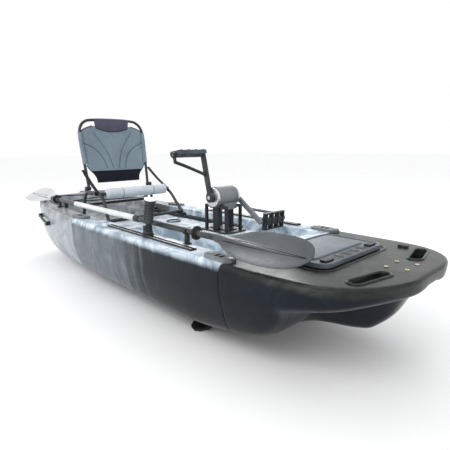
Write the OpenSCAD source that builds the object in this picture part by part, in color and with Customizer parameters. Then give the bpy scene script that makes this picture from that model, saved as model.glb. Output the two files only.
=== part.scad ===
// Modular sit-on-top pedal boat with a push-pedal fin drive.
// X forward, Y to port, Z up. Origin on the keel plane at mid length.
// The hull is three hollow mouldings clamped end to end.

/* [Hull] */
// Wall thickness of the moulded hull
wall = 5; // [4:0.5:7]
// Gap left between two hull modules
seam_gap = 1; // [0.5:0.5:2]
// Scupper bore radius
scupper_r = 12; // [10:1:14]
// Width of the gear rails
rail_w = 34; // [30:1:36]

/* [Drive] */
// Crank length from axle to pedal pin
crank_len = 225; // [210:5:235]
// Rest angle of the starboard crank above forward
crank_rest_s = 103; // [95:1:108]
// Rest angle of the port crank above forward
crank_rest_p = -35; // [-38:1:-10]
// Length of each fin from its hinge
fin_len = 330; // [280:10:350]
// Droop of the folded fins below level
fin_droop = 9; // [7:1:20]

/* [Seat] */
// Lean of the seat back
back_lean = 9; // [5:1:14]
// Tube radius of the seat frame
seat_tube = 11; // [9:0.5:12]

/* [Gear] */
// Rod holder bore radius
rod_bore = 20; // [18:0.5:21]
// Paddle shaft radius
shaft_r = 15; // [13:0.5:15]
// Part to draw

/* [Hidden] */
$fn = 32;
bow_seam = 970;
stern_seam = -420;
deck_z = 360;
ledge_z = 300;
ax_x = 500;
ax_z = 545;
drive_x = 30;
fin_z = -14;
hinge_x = -590;
hinge_z = 515;
pad_y = -335;
pad_z = 425;
rod_x = 385;
rod_y = -385;
rod_z = -25;
run = 0.05;

// ---- hull shape tables: position along the boat, value
function W(x) = lookup(x, [[-1600,180],[-1560,235],[-1450,300],[-1250,365],[-900,425],[-500,452],[0,460],[500,458],[900,447],[1150,435],[1350,412],[1440,380],[1500,335],[1550,270],[1585,190],[1600,130]]);
function G(x) = lookup(x, [[-1600,405],[-1450,395],[-1000,373],[-500,361],[-420,360],[900,360],[1000,358],[1300,362],[1450,366],[1600,375]]);
function K(x) = lookup(x, [[-1600,330],[-1570,240],[-1500,150],[-1400,90],[-1200,30],[-950,5],[-800,0],[700,0],[970,30],[1100,58],[1160,90],[1200,135],[1240,197],[1330,235],[1430,265],[1520,297],[1600,322]]);
function T(x) = lookup(x, [[-1600,336],[-1570,250],[-1500,165],[-1400,110],[-1200,60],[-900,40],[0,30],[800,35],[1050,46],[1160,60],[1240,66],[1390,93],[1430,124],[1480,180],[1520,255],[1550,300],[1585,325],[1600,330]]);
// height of the chine, where the side turns in towards the bottom
function Z(x) = lookup(x, [[-1600,360],[-1400,230],[-1000,190],[0,185],[600,200],[870,220],[1200,250],[1330,268],[1450,300],[1600,345]]);
// footwell or cargo well floor
function F(x) = lookup(x, [[-1430,385],[-1400,220],[-500,220],[-421,220],[-419,296],[-130,296],[-100,150],[850,150],[900,345],[930,359],[1000,358],[1300,362],[1450,366],[1600,375]]);
// side ledge that the seat rails lie on
function L(x) = lookup(x, [[-1430,390],[-1400,300],[860,300],[900,352],[930,360],[1000,358],[1300,362],[1450,366],[1600,375]]);
// centre spine
function S(x) = lookup(x, [[-1430,386],[-1400,220],[-421,220],[-419,296],[-130,296],[-60,345],[300,350],[340,360],[930,360],[1000,358],[1300,362],[1450,366],[1600,375]]);
function PW(x) = min(115, W(x)*0.28);
function PY(x) = W(x) - PW(x) - 50 * min(1, W(x)/420);
function CW(x) = min(315, W(x) - 75);

// a well shallower than 12 mm is drawn as flat deck
function lev(v, g) = v > g-12 ? g : v;
// half section from the centre of the bottom to the centre of the deck
function half(x, t) =
  let (w = W(x)-t, g = G(x)-t, k = K(x)+t, c = T(x)+t, f = lev(max(F(x)-t, T(x)+t+6), g), l = lev(max(L(x)-t, f), g), s = max(S(x)-t, f), top = f == g ? g : g-3,
       py = PY(x), pw = PW(x)-t, cw = CW(x)+t, h = g-k, e = min(1, CW(x)/315), c1 = 100*e,
       y6 = py+pw*0.85, z6 = k+h*0.06, z8 = min(k+h*0.72, max(Z(x), k+h*0.3)), z10 = min(k+h*0.9, g-9), z9 = min(max(z8+6, k+h*0.8), z10-2))
  [[0,c],[(py-pw)*0.6,c],[py-pw,max(k,c-(c-k)*0.15)],[py-pw*0.7,k+max(0,c-k)*0.35],[py-pw*0.25,k+1],[py+pw*0.35,k],[y6,z6],
   [y6+(w-6-y6)*0.5,z6+(z8-z6)*0.3],[w-6,z8],[w-2,z9],[w,z10],[w-8,g-6],[w-24,g],[cw+6*e,g],[cw,top],
   [cw-6*e,max(l,top-60)],[cw-10*e,l],[cw-48*e,l],[cw-56*e,min(f+14,l)],[cw-74*e,f],
   [c1+6-t,f],[c1-2-t,min(f+12,s)],[c1-6-t,s],[0,s]];

function ring(x, t) = let (h = half(x,t), k = len(h)) concat(h, [for (i=[k-2:-1:1]) [-h[i][0], h[i][1]]]);

module loft(xs, t) {
  m = len(xs); n = len(ring(xs[0], t)); k = n/2;
  pts = [for (x=xs) for (p=ring(x,t)) [x, p[0], p[1]]];
  sides = [for (j=[0:m-2]) for (i=[0:n-1]) let (a=(j+1)*n+i, b=(j+1)*n+(i+1)%n, c=j*n+(i+1)%n, d=j*n+i) each [[a,b,c],[a,c,d]]];
  // ladder of quads between the lower and the upper chain, port and starboard
  lo = [for (i=[0:floor(k/2)-1]) i];
  capa = [for (i=lo) each [[i,i+1,k-i-1],[i,k-i-1,k-i]]];
  capb = [for (i=lo) each [[(n-i)%n,(n-(k-i))%n,(n-(k-i-1))%n],[(n-i)%n,(n-(k-i-1))%n,n-i-1]]];
  b0 = (m-1)*n;
  polyhedron(points=pts, faces=concat(sides,
    [for (q=concat(capa,capb)) q],
    [for (q=concat(capa,capb)) [b0+q[2], b0+q[1], b0+q[0]]]), convexity=8);
}

module tube(a, b, r, n=24) {
  v = b - a; len_ = norm(v);
  translate(a) rotate([0, acos(v[2]/len_), atan2(v[1], v[0])]) cylinder(h=len_, r=r, $fn=n);
}
module elbow(p, r, n=16) translate(p) sphere(r=r*1.05, $fn=n);
module rbox(x0,x1,y0,y1,z0,z1,r) {
  translate([0,0,z0]) linear_extrude(height=z1-z0) polygon([for (c=[[x1-r,y1-r,0],[x0+r,y1-r,90],[x0+r,y0+r,180],[x1-r,y0+r,270]]) for (i=[0:3]) [c[0]+r*cos(c[2]+i*30), c[1]+r*sin(c[2]+i*30)]]);
}
module both() { children(); mirror([0,1,0]) children(); }
module slot_cut(g, z0, z1) {
  both() translate([1468,208,0]) rotate([0,0,12]) rbox(-24-g,24+g,-92-g,92+g,z0,z1,20);
}

xs_bow = [970,1050,1100,1160,1200,1240,1290,1330,1390,1430,1480,1520,1550,1585,1600];
xs_mid = [-420,-200,-130,-100,-60,300,340,600,850,880,910,930,970];
xs_stern = [-1600,-1570,-1530,-1480,-1430,-1400,-1300,-1200,-1050,-900,-650,-420];
function span(xs, a, b) = concat([a], [for (x=xs) if (x > a+4 && x < b-4) x], [b]);

module hull_bow() color([0.10,0.12,0.14]) {
  difference() {
    loft(span(xs_bow, bow_seam+seam_gap/2, 1600), 0);
    difference() {
      loft(span(xs_bow, bow_seam+seam_gap/2+wall, 1585), wall);
      slot_cut(wall, 150, 500);
      for (sx=[1450,1525], sy=[-45,45]) translate([sx,sy,335]) cylinder(h=60, r=9, $fn=16);
    }
    slot_cut(0, 150, 500);
    for (sx=[1450,1525], sy=[-45,45]) translate([sx,sy,344]) cylinder(h=60, r=5, $fn=16);
    // hatch mouth
    rbox(1040,1290,-210,210,335,460,40);
  }
}
module hull_mid() color([0.62,0.68,0.74]) {
  difference() {
    loft(span(xs_mid, stern_seam+seam_gap/2, bow_seam-seam_gap/2), 0);
    difference() {
      loft(span(xs_mid, stern_seam+seam_gap/2+wall, bow_seam-seam_gap/2-wall), wall);
      translate([drive_x+430-wall,-40-wall,-10]) cube([140+2*wall,80+2*wall,420]);
      for (sx=[150,790], sy=[-170,170]) translate([sx,sy,-10]) cylinder(h=400, r=scupper_r+wall);
    }
    translate([drive_x+430,-40,-20]) cube([140,80,460]);
    for (sx=[150,790], sy=[-170,170]) translate([sx,sy,-20]) cylinder(h=400, r=scupper_r);
    // vent through the after end wall
    translate([stern_seam-5,0,150]) rotate([0,90,0]) cylinder(h=30, r=8);
  }
}
module hull_stern() color([0.66,0.68,0.70]) {
  difference() {
    loft(span(xs_stern, -1600, stern_seam-seam_gap/2), 0);
    difference() {
      loft(span(xs_stern, -1570, stern_seam-seam_gap/2-wall), wall);
      for (sx=[-1150,-620], sy=[-170,170]) translate([sx,sy,-10]) cylinder(h=500, r=scupper_r+wall);
    }
    for (sx=[-1150,-620], sy=[-170,170]) translate([sx,sy,-20]) cylinder(h=500, r=scupper_r);
    // drain bore
    translate([-1620,0,362]) rotate([0,90,0]) cylinder(h=80, r=11);
  }
}

// ---- module clamps
module clamp_plate(x0, x1, z) translate([0,0,z]) linear_extrude(height=14) polygon([[x0,372],[x0+20,350],[x1-20,350],[x1,372],[x1,398],[x1-20,420],[x0+20,420],[x0,398]]);
module clamp_holes(xs) for (x=xs) translate([x,385,340]) cylinder(h=60, r=6.1, $fn=20);
module clamp_bolts(xs, z) for (x=xs) { translate([x,385,z-16]) cylinder(h=32, r=6, $fn=20); translate([x,385,z+14.2]) cylinder(h=4, r=11, $fn=6); }
module bow_latches() color([0.55,0.57,0.58]) both() difference() { clamp_plate(838, 998, 357); clamp_holes([868,984-4]); }
module stern_latches() color([0.55,0.57,0.58]) both() difference() { clamp_plate(-500, -340, 359); clamp_holes([-470,-370]); }
module latch_bolts() color([0.05,0.05,0.06]) both() { clamp_bolts([868,980], 357); clamp_bolts([-470,-370], 359); }

// ---- hatch
module hatch_rim() color([0.08,0.08,0.09]) difference() {
  union() { rbox(1022,1308,-230,230,350,365,50); both() translate([1008,150,350]) cube([16,60,23]); }
  rbox(1040,1290,-210,210,280,460,40);
  translate([1012,-300,366]) rotate([-90,0,0]) cylinder(h=600, r=3, $fn=20);
}
module hatch_pin() color([0.7,0.7,0.72]) translate([1012,-215,366]) rotate([-90,0,0]) cylinder(h=430, r=3, $fn=20);
module hatch_lid() color([0.42,0.45,0.48]) difference() {
  union() {
    rbox(1018,1315,-237,237,366,378,52);
    rbox(1046,1240,-200,200,378,382,30);
    translate([1012,-148,366]) rotate([-90,0,0]) cylinder(h=296, r=7);
    translate([1012,-148,366]) cube([14,296,7]);
  }
  for (sy=[-170,170]) translate([1278,sy,355]) cylinder(h=40, r=7+run);
  translate([1012,-148.5,366]) rotate([-90,0,0]) cylinder(h=297, r=3+run, $fn=20);
  both() translate([1000,148,340]) cube([29,64,40]);
}
module turn_latch(y) { translate([1278,y,367]) cylinder(h=15, r=7); translate([1264,y-26,379]) cube([28,52,8]); }
module hatch_latch_s() color([0.04,0.04,0.05]) turn_latch(-170);
module hatch_latch_p() color([0.04,0.04,0.05]) turn_latch(170);
module deck_inserts() color([0.80,0.62,0.25]) for (sx=[1450,1525], sy=[-45,45]) translate([sx,sy,345]) difference() { union() { cylinder(h=26, r=5, $fn=20); translate([0,0,22+(sx-1450)*0.05]) cylinder(h=3.5, r=7.5, $fn=20); } translate([0,0,-1]) cylinder(h=34, r=3, $fn=20); }

// ---- gear rails
module rail(x0, x1) difference() {
  translate([x0,-385-rail_w/2,359]) cube([x1-x0,rail_w,11]);
  translate([x0-1,-385-5,363]) cube([x1-x0+2,10,10]);
  translate([x0-1,-385-10,361.5]) cube([x1-x0+2,20,4]);
}
module gear_rails() color([0.05,0.05,0.06]) both() rail(-20,750);
module rail_screws() color([0.6,0.6,0.62]) both() for (x=[5,735]) translate([x,-385,350]) { cylinder(h=12, r=2.5, $fn=16); translate([0,0,11.6]) cylinder(h=2, r=4.5, $fn=16); }

// ---- pedal drive
module drive_plate() color([0.04,0.04,0.05]) translate([drive_x,0,0]) difference() { rbox(395,605,-75,75,359,369,16); translate([436.1,-34.1,350]) cube([127.8,68.2,30]); }
module drive_frame() color([0.04,0.04,0.05]) translate([drive_x,0,0]) {
  for (sx=[415,570]) for (sy=[-58,44]) translate([sx,sy,368]) cube([14,14,132]);
  for (sy=[-58,44]) translate([415,sy,489]) cube([169,14,14]);
  for (sy=[-58,44]) translate([480,sy,368]) cube([40,14,125]);
}
module drive_drum() color([0.40,0.42,0.44]) translate([drive_x,0,0]) difference() {
  union() { translate([ax_x,-62,ax_z]) rotate([-90,0,0]) cylinder(h=124, r=55, $fn=48); translate([440,-42,480]) cube([120,84,34]); }
  translate([ax_x,-70,ax_z]) rotate([-90,0,0]) cylinder(h=140, r=10+run);
}
module drive_axle() color([0.7,0.7,0.72]) translate([drive_x+ax_x,-104,ax_z]) rotate([-90,0,0]) cylinder(h=208, r=10);
module crank_disc_s() color([0.80,0.81,0.82]) translate([drive_x,0,0]) difference() { translate([ax_x,-80,ax_z]) rotate([-90,0,0]) cylinder(h=16, r=50, $fn=48); translate([ax_x,-90,ax_z]) rotate([-90,0,0]) cylinder(h=40, r=10+run); }
module crank_disc_p() mirror([0,1,0]) crank_disc_s();
// crank in its own frame: axle at the origin, arm along +X, outboard is -Y
module crank_shape() difference() {
  union() {
    translate([0,-100,0]) rotate([-90,0,0]) cylinder(h=19, r=26);
    translate([0,-100,-13]) cube([crank_len,15,26]);
    translate([crank_len,-100,0]) rotate([-90,0,0]) cylinder(h=15, r=13);
    translate([crank_len-112,-100,-9]) rotate([0,0,-18]) cube([20,15,18]);
    for (q=[[-110,-92,-92,-128],[-92,-128,-72,-176],[-72,-176,-52,-226],[-52,-226,-34,-276],[-34,-276,-7,-276]])
      tube([crank_len+q[0],q[1],0],[crank_len+q[2],q[3],0],8,16);
    for (q=[[-92,-128],[-72,-176],[-52,-226],[-34,-276]]) elbow([crank_len+q[0],q[1],0],8);
    translate([crank_len,-286.5,0]) rotate([-90,0,0]) cylinder(h=19.5, r=13);
  }
  translate([0,-110,0]) rotate([-90,0,0]) cylinder(h=40, r=10+run);
  translate([crank_len,-300,0]) rotate([-90,0,0]) cylinder(h=230, r=5);
}
module on_axle(a) translate([drive_x+ax_x,0,ax_z]) rotate([0,-a,0]) children();
module pin_at(a) translate([drive_x+ax_x+crank_len*cos(a),0,ax_z+crank_len*sin(a)]) children();
module crank_s() color([0.05,0.05,0.06]) on_axle(crank_rest_s) crank_shape();
module crank_p() color([0.36,0.38,0.40]) mirror([0,1,0]) on_axle(crank_rest_p) crank_shape();
module pin_shape() translate([0,-284,0]) rotate([-90,0,0]) cylinder(h=200, r=5);
module pedal_pin_s() color([0.7,0.7,0.72]) pin_at(crank_rest_s) pin_shape();
module pedal_pin_p() color([0.7,0.7,0.72]) mirror([0,1,0]) pin_at(crank_rest_p) pin_shape();
module pedal_shape() difference() {
  union() { translate([-46,-266,2]) cube([92,160,18]); translate([0,-266,0]) rotate([-90,0,0]) cylinder(h=160, r=12); translate([-12,-266,0]) cube([24,160,10]);
    for (y=[-262,-216,-170,-124]) translate([-42,y,19]) cube([84,8,4]); }
  translate([0,-280,0]) rotate([-90,0,0]) cylinder(h=200, r=5+run);
  for (y=[-248,-202,-156]) translate([18,y,-5]) cube([20,26,40]);
  for (y=[-248,-202,-156]) translate([-38,y,-5]) cube([20,26,40]);
}
module pedal_s() color([0.06,0.07,0.08]) pin_at(crank_rest_s) rotate([0,-8,0]) pedal_shape();
module pedal_p() color([0.06,0.07,0.08]) mirror([0,1,0]) pin_at(crank_rest_p) rotate([0,95,0]) pedal_shape();
module drive_mast() color([0.05,0.05,0.06]) translate([drive_x,0,0]) difference() {
  union() { translate([436,-34,0]) cube([128,68,369.5]); translate([436,0,fin_z]) rotate([0,90,0]) cylinder(h=128, r=16); translate([436,-16,fin_z]) cube([128,32,30]); translate([430,-36,369.1]) cube([140,72,5]); }
  translate([430,0,fin_z]) rotate([0,90,0]) cylinder(h=140, r=6, $fn=24);
}
module fin_axle() color([0.7,0.7,0.72]) translate([drive_x+296,0,fin_z]) rotate([0,90,0]) cylinder(h=408, r=6, $fn=24);
// fin in its own frame: hinge along X at the origin, blade along -Y
module fin_shape(sgn) difference() {
  union() {
    translate([-62,0,0]) rotate([0,90,0]) cylinder(h=124, r=14);
    translate([0,0,-6]) linear_extrude(height=12) polygon([[58*sgn,-8],[60*sgn,-fin_len*0.5],[52*sgn,-fin_len*0.8],[34*sgn,-fin_len*0.95],[8*sgn,-fin_len],[-30*sgn,-fin_len*0.97],[-56*sgn,-fin_len*0.85],[-62*sgn,-fin_len*0.5],[-40*sgn,-fin_len*0.12],[-40*sgn,-8]]);
    translate([48*sgn,-6,0]) rotate([90,0,0]) cylinder(h=fin_len*0.85, r=9, $fn=20);
  }
  translate([-70,0,0]) rotate([0,90,0]) cylinder(h=140, r=6+run, $fn=24);
}
module fin_front() color([0.05,0.05,0.06]) translate([drive_x+628,0,fin_z]) rotate([fin_droop,0,0]) fin_shape(1);
module fin_rear() color([0.05,0.05,0.06]) translate([drive_x+372,0,fin_z]) mirror([0,1,0]) rotate([fin_droop,0,0]) fin_shape(1);

// ---- seat, sliding on two rails that lie on the side ledges
module seat_rails() color([0.04,0.04,0.05]) both() difference() { translate([-700,272,299]) cube([1080,32,22]); translate([-701,281,306]) cube([1082,14,20]); }
module seat_feet() color([0.04,0.04,0.05]) both() for (x=[-600,-225]) { translate([x-26,283.5,308]) cube([52,9,16]); translate([x-30,274,321.5]) cube([60,28,14]); }
module seat_frame() color([0.10,0.10,0.11]) {
  both() {
    tube([-600,288,330],[-600,262,hinge_z-10],seat_tube);
    tube([-600,262,hinge_z-10],[-350,262,hinge_z-10],seat_tube);
    tube([-350,262,hinge_z-10],[-225,288,345],seat_tube);
    tube([-225,288,345],[-225,288,330],seat_tube);
    elbow([-600,262,hinge_z-10],seat_tube); elbow([-350,262,hinge_z-10],seat_tube); elbow([-225,288,345],seat_tube);
    difference() { translate([hinge_x-14,251,hinge_z-14]) cube([28,14,34]); translate([hinge_x,200,hinge_z+10]) rotate([-90,0,0]) cylinder(h=100, r=4.05, $fn=20); }
  }
  tube([-350,-262,hinge_z-10],[-350,262,hinge_z-10],seat_tube);
  tube([-225,-288,345],[-225,288,345],seat_tube);
  tube([-600,-275,410],[-600,275,410],seat_tube);
}
module in_back() translate([hinge_x,0,hinge_z+10]) rotate([0,-back_lean,0]) children();
module seat_back_frame() color([0.10,0.10,0.11]) in_back() difference() {
  union() {
    both() {
      tube([0,238,0],[0,250,330],seat_tube-1);
      tube([0,250,330],[0,244,408],seat_tube-1); tube([0,244,408],[0,216,452],seat_tube-1); tube([0,216,452],[0,170,474],seat_tube-1);
      for (p=[[0,250,330],[0,244,408],[0,216,452],[0,170,474]]) elbow(p,seat_tube-1);
      translate([0,227,0]) rotate([-90,0,0]) cylinder(h=22, r=14);
    }
    tube([0,-170,474],[0,170,474],seat_tube-1);
  }
  both() translate([0,200,0]) rotate([-90,0,0]) cylinder(h=80, r=4+run, $fn=20);
}
module seat_bolts() color([0.6,0.6,0.62]) both() translate([hinge_x,220,hinge_z+10]) rotate([-90,0,0]) { cylinder(h=52, r=4, $fn=20); translate([0,0,46]) cylinder(h=6, r=8, $fn=6); }
module seat_back_panel() color([0.42,0.47,0.53]) in_back() translate([-6,0,0]) rotate([90,0,90]) linear_extrude(height=12) polygon([[-170,34],[170,34],[200,96],[227,162],[236,396],[150,434],[-150,434],[-236,396],[-227,162],[-200,96]]);
module seat_head_cover() color([0.36,0.35,0.42]) in_back() translate([-14,0,0]) rotate([90,0,90]) linear_extrude(height=28) polygon([[-128,490],[128,490],[140,472],[120,440],[-120,440],[-140,472]]);
module seat_band() color([0.07,0.08,0.14]) in_back() translate([6.5,-165,40]) cube([8,330,70]);
module seat_pan() color([0.30,0.33,0.37]) translate([-570,-246,hinge_z-22]) cube([180,492,16]);
module seat_roll() color([0.72,0.74,0.76]) difference() { translate([-350,-236,hinge_z-10]) rotate([-90,0,0]) cylinder(h=472, r=36, $fn=40); translate([-350,-300,hinge_z-10]) rotate([-90,0,0]) cylinder(h=600, r=seat_tube); }
module seat_straps() color([0.03,0.03,0.04]) both() tube([-610,268,650],[-400,276,hinge_z+8],3,12);

// ---- rod holder on the starboard rail
module rod_carriage() color([0.05,0.05,0.06]) translate([0,0,rod_z]) { translate([rod_x-30,rod_y-9,387]) cube([60,18,3]); translate([rod_x-12,rod_y-4.6,389]) cube([24,9.2,8]); translate([rod_x,rod_y,395.4]) cylinder(h=8, r=30, $fn=40); translate([rod_x,rod_y,403]) cylinder(h=22, r=8); }
module rod_knob() color([0.06,0.06,0.07]) translate([0,0,rod_z]) difference() {
  union() { translate([rod_x,rod_y,403.8]) cylinder(h=14, r=26, $fn=40); for (s=[-1,1]) translate([rod_x-11,rod_y+s*17-4,417]) cube([22,8,20]); for (s=[-1,1]) translate([rod_x,rod_y+s*17-4,437]) rotate([-90,0,0]) cylinder(h=8, r=11); translate([rod_x,rod_y-21,437]) rotate([-90,0,0]) cylinder(h=42, r=4); }
  translate([rod_x,rod_y,403]) cylinder(h=23, r=8+run);
}
module rod_tube() color([0.05,0.05,0.06]) translate([rod_x,rod_y,437+rod_z]) rotate([0,14,0]) difference() {
  union() { translate([0,-12.5,0]) rotate([-90,0,0]) cylinder(h=25, r=10); cylinder(h=13, r=9); translate([0,0,12]) cylinder(h=14, r1=9, r2=22); translate([0,0,26]) cylinder(h=104, r=24, $fn=40); translate([0,0,130]) cylinder(h=16, r1=24, r2=29, $fn=40); }
  translate([0,-20,0]) rotate([-90,0,0]) cylinder(h=40, r=4+run);
  translate([0,0,32]) cylinder(h=160, r=rod_bore, $fn=40);
  translate([0,0,135]) cylinder(h=12, r1=rod_bore, r2=rod_bore+5, $fn=40);
}
module rod_rim() color([0.75,0.76,0.78]) translate([rod_x,rod_y,437+rod_z]) rotate([0,14,0]) difference() { translate([0,0,146]) cylinder(h=4, r=29, $fn=40); translate([0,0,140]) cylinder(h=12, r=25, $fn=40); }

// ---- paddle in open clips on the starboard side deck
module px(x0, x1, r, n=24) translate([x0,pad_y,pad_z]) rotate([0,90,0]) cylinder(h=x1-x0, r=r, $fn=n);
module paddle_shaft() color([0.08,0.08,0.09]) px(-1080,880,shaft_r);
module paddle_grip() color([0.86,0.87,0.86]) difference() { px(-600,180,shaft_r+2); px(-601,181,shaft_r); }
module paddle_ferrule() color([0.03,0.03,0.04]) difference() { px(182,226,shaft_r+3); px(181,227,shaft_r); }
module paddle_rings() color([0.03,0.03,0.04]) for (x=[-960,700]) difference() { union() { px(x,x+24,shaft_r+4); px(x+9,x+15,32,32); } px(x-1,x+25,shaft_r); }
module blade_shape() union() {
  rotate([24,0,0]) linear_extrude(height=7, center=true) polygon([[-20,-16],[60,-52],[170,-88],[290,-98],[400,-82],[450,-40],[462,20],[440,64],[380,92],[260,100],[140,84],[40,46],[-20,16]]);
  rotate([0,90,0]) translate([0,0,-20]) cylinder(h=200, r1=shaft_r+1, r2=4);
}
module blade_front() color([0.45,0.47,0.50]) difference() { translate([860,pad_y,pad_z]) blade_shape(); px(700,881,shaft_r); }
module blade_rear() color([0.82,0.83,0.84]) difference() { translate([-1060,pad_y,pad_z]) mirror([1,0,0]) blade_shape(); px(-1081,-800,shaft_r); }
module paddle_clips() color([0.04,0.04,0.05]) for (c=[[-900,369],[640,359]]) difference() {
  union() { translate([c[0]-14,pad_y-17,c[1]]) cube([28,34,8]); translate([c[0]-10,pad_y-8,c[1]]) cube([20,16,pad_z-shaft_r-c[1]-2]); translate([c[0]-10,pad_y,pad_z]) rotate([0,90,0]) cylinder(h=20, r=shaft_r+5.5); }
  translate([c[0]-11,pad_y,pad_z]) rotate([0,90,0]) cylinder(h=22, r=shaft_r+0.5);
  translate([c[0]-11,pad_y-shaft_r-0.5,pad_z]) cube([22,2*shaft_r+1,40]);
}

// ---- carry handles, bungee and small fittings
module hs(x, z) translate([x,-W(x)-14,z]) children();
module handle_shape() tube([-1175,-W(-1175)-14,282],[-905,-W(-905)-14,260],8,20);
module handle_s() color([0.04,0.04,0.05]) handle_shape();
module handle_p() color([0.04,0.04,0.05]) mirror([0,1,0]) handle_shape();
module handle_eyes() color([0.04,0.04,0.05]) both() { hs(-1175,282) translate([-14,-14,-14]) cube([28,46,28]); hs(-905,260) translate([-14,-14,-14]) cube([28,46,28]); }
bx = [-1330,-1110,-870,-720];
module bungee() color([0.03,0.03,0.04]) { for (i=[0:2]) tube([bx[i],i%2==0?-298:298,408],[bx[i+1],i%2==0?298:-298,408],4,16); for (i=[0:3]) translate([bx[i],(i%2==0?-298:298),408]) sphere(r=6, $fn=16); }
module pad_eyes() { bow_eye(); stern_eyes(); }
module stern_eyes() color([0.04,0.04,0.05]) for (i=[0:3]) translate([bx[i]-12,(i%2==0?-300:300)-10,G(bx[i])-4]) cube([24,20,420-G(bx[i])]);
module bow_eye() color([0.04,0.04,0.05]) translate([1350,288,360]) difference() { cube([40,22,13]); translate([10,-1,5]) cube([20,24,4]); }
module drain_plug() color([0.04,0.04,0.05]) translate([-1606,0,362]) rotate([0,90,0]) { cylinder(h=5.5, r=18); cylinder(h=26, r=11-run); }
module cup_ring() color([0.06,0.06,0.07]) translate([70,0,345]) difference() { cylinder(h=8, r=46, $fn=40); translate([0,0,-1]) cylinder(h=10, r=38, $fn=40); }
module scupper_rings() color([0.05,0.05,0.06]) { for (sx=[150,790], sy=[-170,170]) translate([sx,sy,149]) difference() { cylinder(h=3, r=20); translate([0,0,-1]) cylinder(h=6, r=scupper_r); } for (sx=[-1150,-620], sy=[-170,170]) translate([sx,sy,219]) difference() { cylinder(h=3, r=20); translate([0,0,-1]) cylinder(h=6, r=scupper_r); } }

// ---- drawing
hull_bow();
hull_mid();
hull_stern();
bow_latches();
stern_latches();
latch_bolts();
hatch_rim();
hatch_lid();
hatch_pin();
hatch_latch_s();
hatch_latch_p();
deck_inserts();
gear_rails();
rail_screws();
drive_plate();
drive_frame();
drive_drum();
drive_axle();
crank_s();
crank_p();
crank_disc_s();
crank_disc_p();
pedal_pin_s();
pedal_pin_p();
pedal_s();
pedal_p();
drive_mast();
fin_axle();
fin_front();
fin_rear();
seat_frame();
seat_feet();
seat_rails();
seat_back_frame();
seat_back_panel();
seat_head_cover();
seat_band();
seat_pan();
seat_roll();
seat_straps();
seat_bolts();
rod_carriage();
rod_knob();
rod_tube();
rod_rim();
paddle_shaft();
paddle_grip();
paddle_ferrule();
paddle_rings();
blade_front();
blade_rear();
paddle_clips();
handle_s();
handle_p();
handle_eyes();
bungee();
pad_eyes();
drain_plug();
cup_ring();
scupper_rings();
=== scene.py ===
import bpy, bmesh, math
import numpy as np
from mathutils import Vector, Matrix

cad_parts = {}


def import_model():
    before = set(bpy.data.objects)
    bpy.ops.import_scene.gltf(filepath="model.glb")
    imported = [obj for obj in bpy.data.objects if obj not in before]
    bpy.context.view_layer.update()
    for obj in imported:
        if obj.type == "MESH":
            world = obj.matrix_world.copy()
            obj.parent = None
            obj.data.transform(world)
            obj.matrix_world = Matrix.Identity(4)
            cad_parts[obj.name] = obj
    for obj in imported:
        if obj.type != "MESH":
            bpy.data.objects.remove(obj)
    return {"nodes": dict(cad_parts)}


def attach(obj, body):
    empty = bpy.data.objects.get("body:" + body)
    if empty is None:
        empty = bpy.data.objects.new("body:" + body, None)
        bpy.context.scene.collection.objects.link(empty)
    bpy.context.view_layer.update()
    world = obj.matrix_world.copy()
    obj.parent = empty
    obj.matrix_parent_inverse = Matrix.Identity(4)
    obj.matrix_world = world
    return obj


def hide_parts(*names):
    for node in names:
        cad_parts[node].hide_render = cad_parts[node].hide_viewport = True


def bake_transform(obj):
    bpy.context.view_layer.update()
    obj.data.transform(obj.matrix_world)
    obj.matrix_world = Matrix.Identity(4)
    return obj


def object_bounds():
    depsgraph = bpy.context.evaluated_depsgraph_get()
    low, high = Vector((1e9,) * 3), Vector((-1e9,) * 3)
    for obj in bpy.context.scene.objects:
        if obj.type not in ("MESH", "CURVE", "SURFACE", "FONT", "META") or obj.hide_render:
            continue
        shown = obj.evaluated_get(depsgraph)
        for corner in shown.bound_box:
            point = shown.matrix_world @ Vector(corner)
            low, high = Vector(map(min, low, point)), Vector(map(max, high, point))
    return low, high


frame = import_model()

BOX0 = [list(map(float, v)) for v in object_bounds()]
N = frame["nodes"]
MM = 0.001
rng = np.random.RandomState(7)

# ------------------------------------------------------------------ materials
def new_mat(name):
    m = bpy.data.materials.new(name)
    m.use_nodes = True
    nt = m.node_tree
    nt.nodes.clear()
    out = nt.nodes.new("ShaderNodeOutputMaterial")
    b = nt.nodes.new("ShaderNodeBsdfPrincipled")
    nt.links.new(b.outputs[0], out.inputs[0])
    return m, nt, b

def node(nt, kind, **kw):
    n = nt.nodes.new(kind)
    for k, v in kw.items():
        setattr(n, k, v)
    return n

def put(nt, sock, v):
    if isinstance(v, bpy.types.NodeSocket):
        nt.links.new(v, sock)
    elif isinstance(v, (tuple, list)) and len(v) == 3 and sock.type == "RGBA":
        sock.default_value = (*v, 1)
    else:
        sock.default_value = v

def coord(nt, scale=(1, 1, 1), rot=(0, 0, 0)):
    tc = node(nt, "ShaderNodeTexCoord")
    mp = node(nt, "ShaderNodeMapping")
    mp.inputs["Scale"].default_value = scale
    mp.inputs["Rotation"].default_value = rot
    nt.links.new(tc.outputs["Object"], mp.inputs["Vector"])
    return mp.outputs[0]

def noise(nt, vec, scale, detail=3.0, rough=0.55, distortion=0.0):
    n = node(nt, "ShaderNodeTexNoise")
    nt.links.new(vec, n.inputs["Vector"])
    n.inputs["Scale"].default_value = scale
    n.inputs["Detail"].default_value = detail
    n.inputs["Roughness"].default_value = rough
    n.inputs["Distortion"].default_value = distortion
    return n.outputs["Fac"]

def math_(nt, op, a, b=0.0, c=0.0, clamp=False):
    n = node(nt, "ShaderNodeMath", operation=op, use_clamp=clamp)
    for i, v in enumerate((a, b, c)):
        if i < len(n.inputs):
            put(nt, n.inputs[i], v)
    return n.outputs[0]

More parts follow.
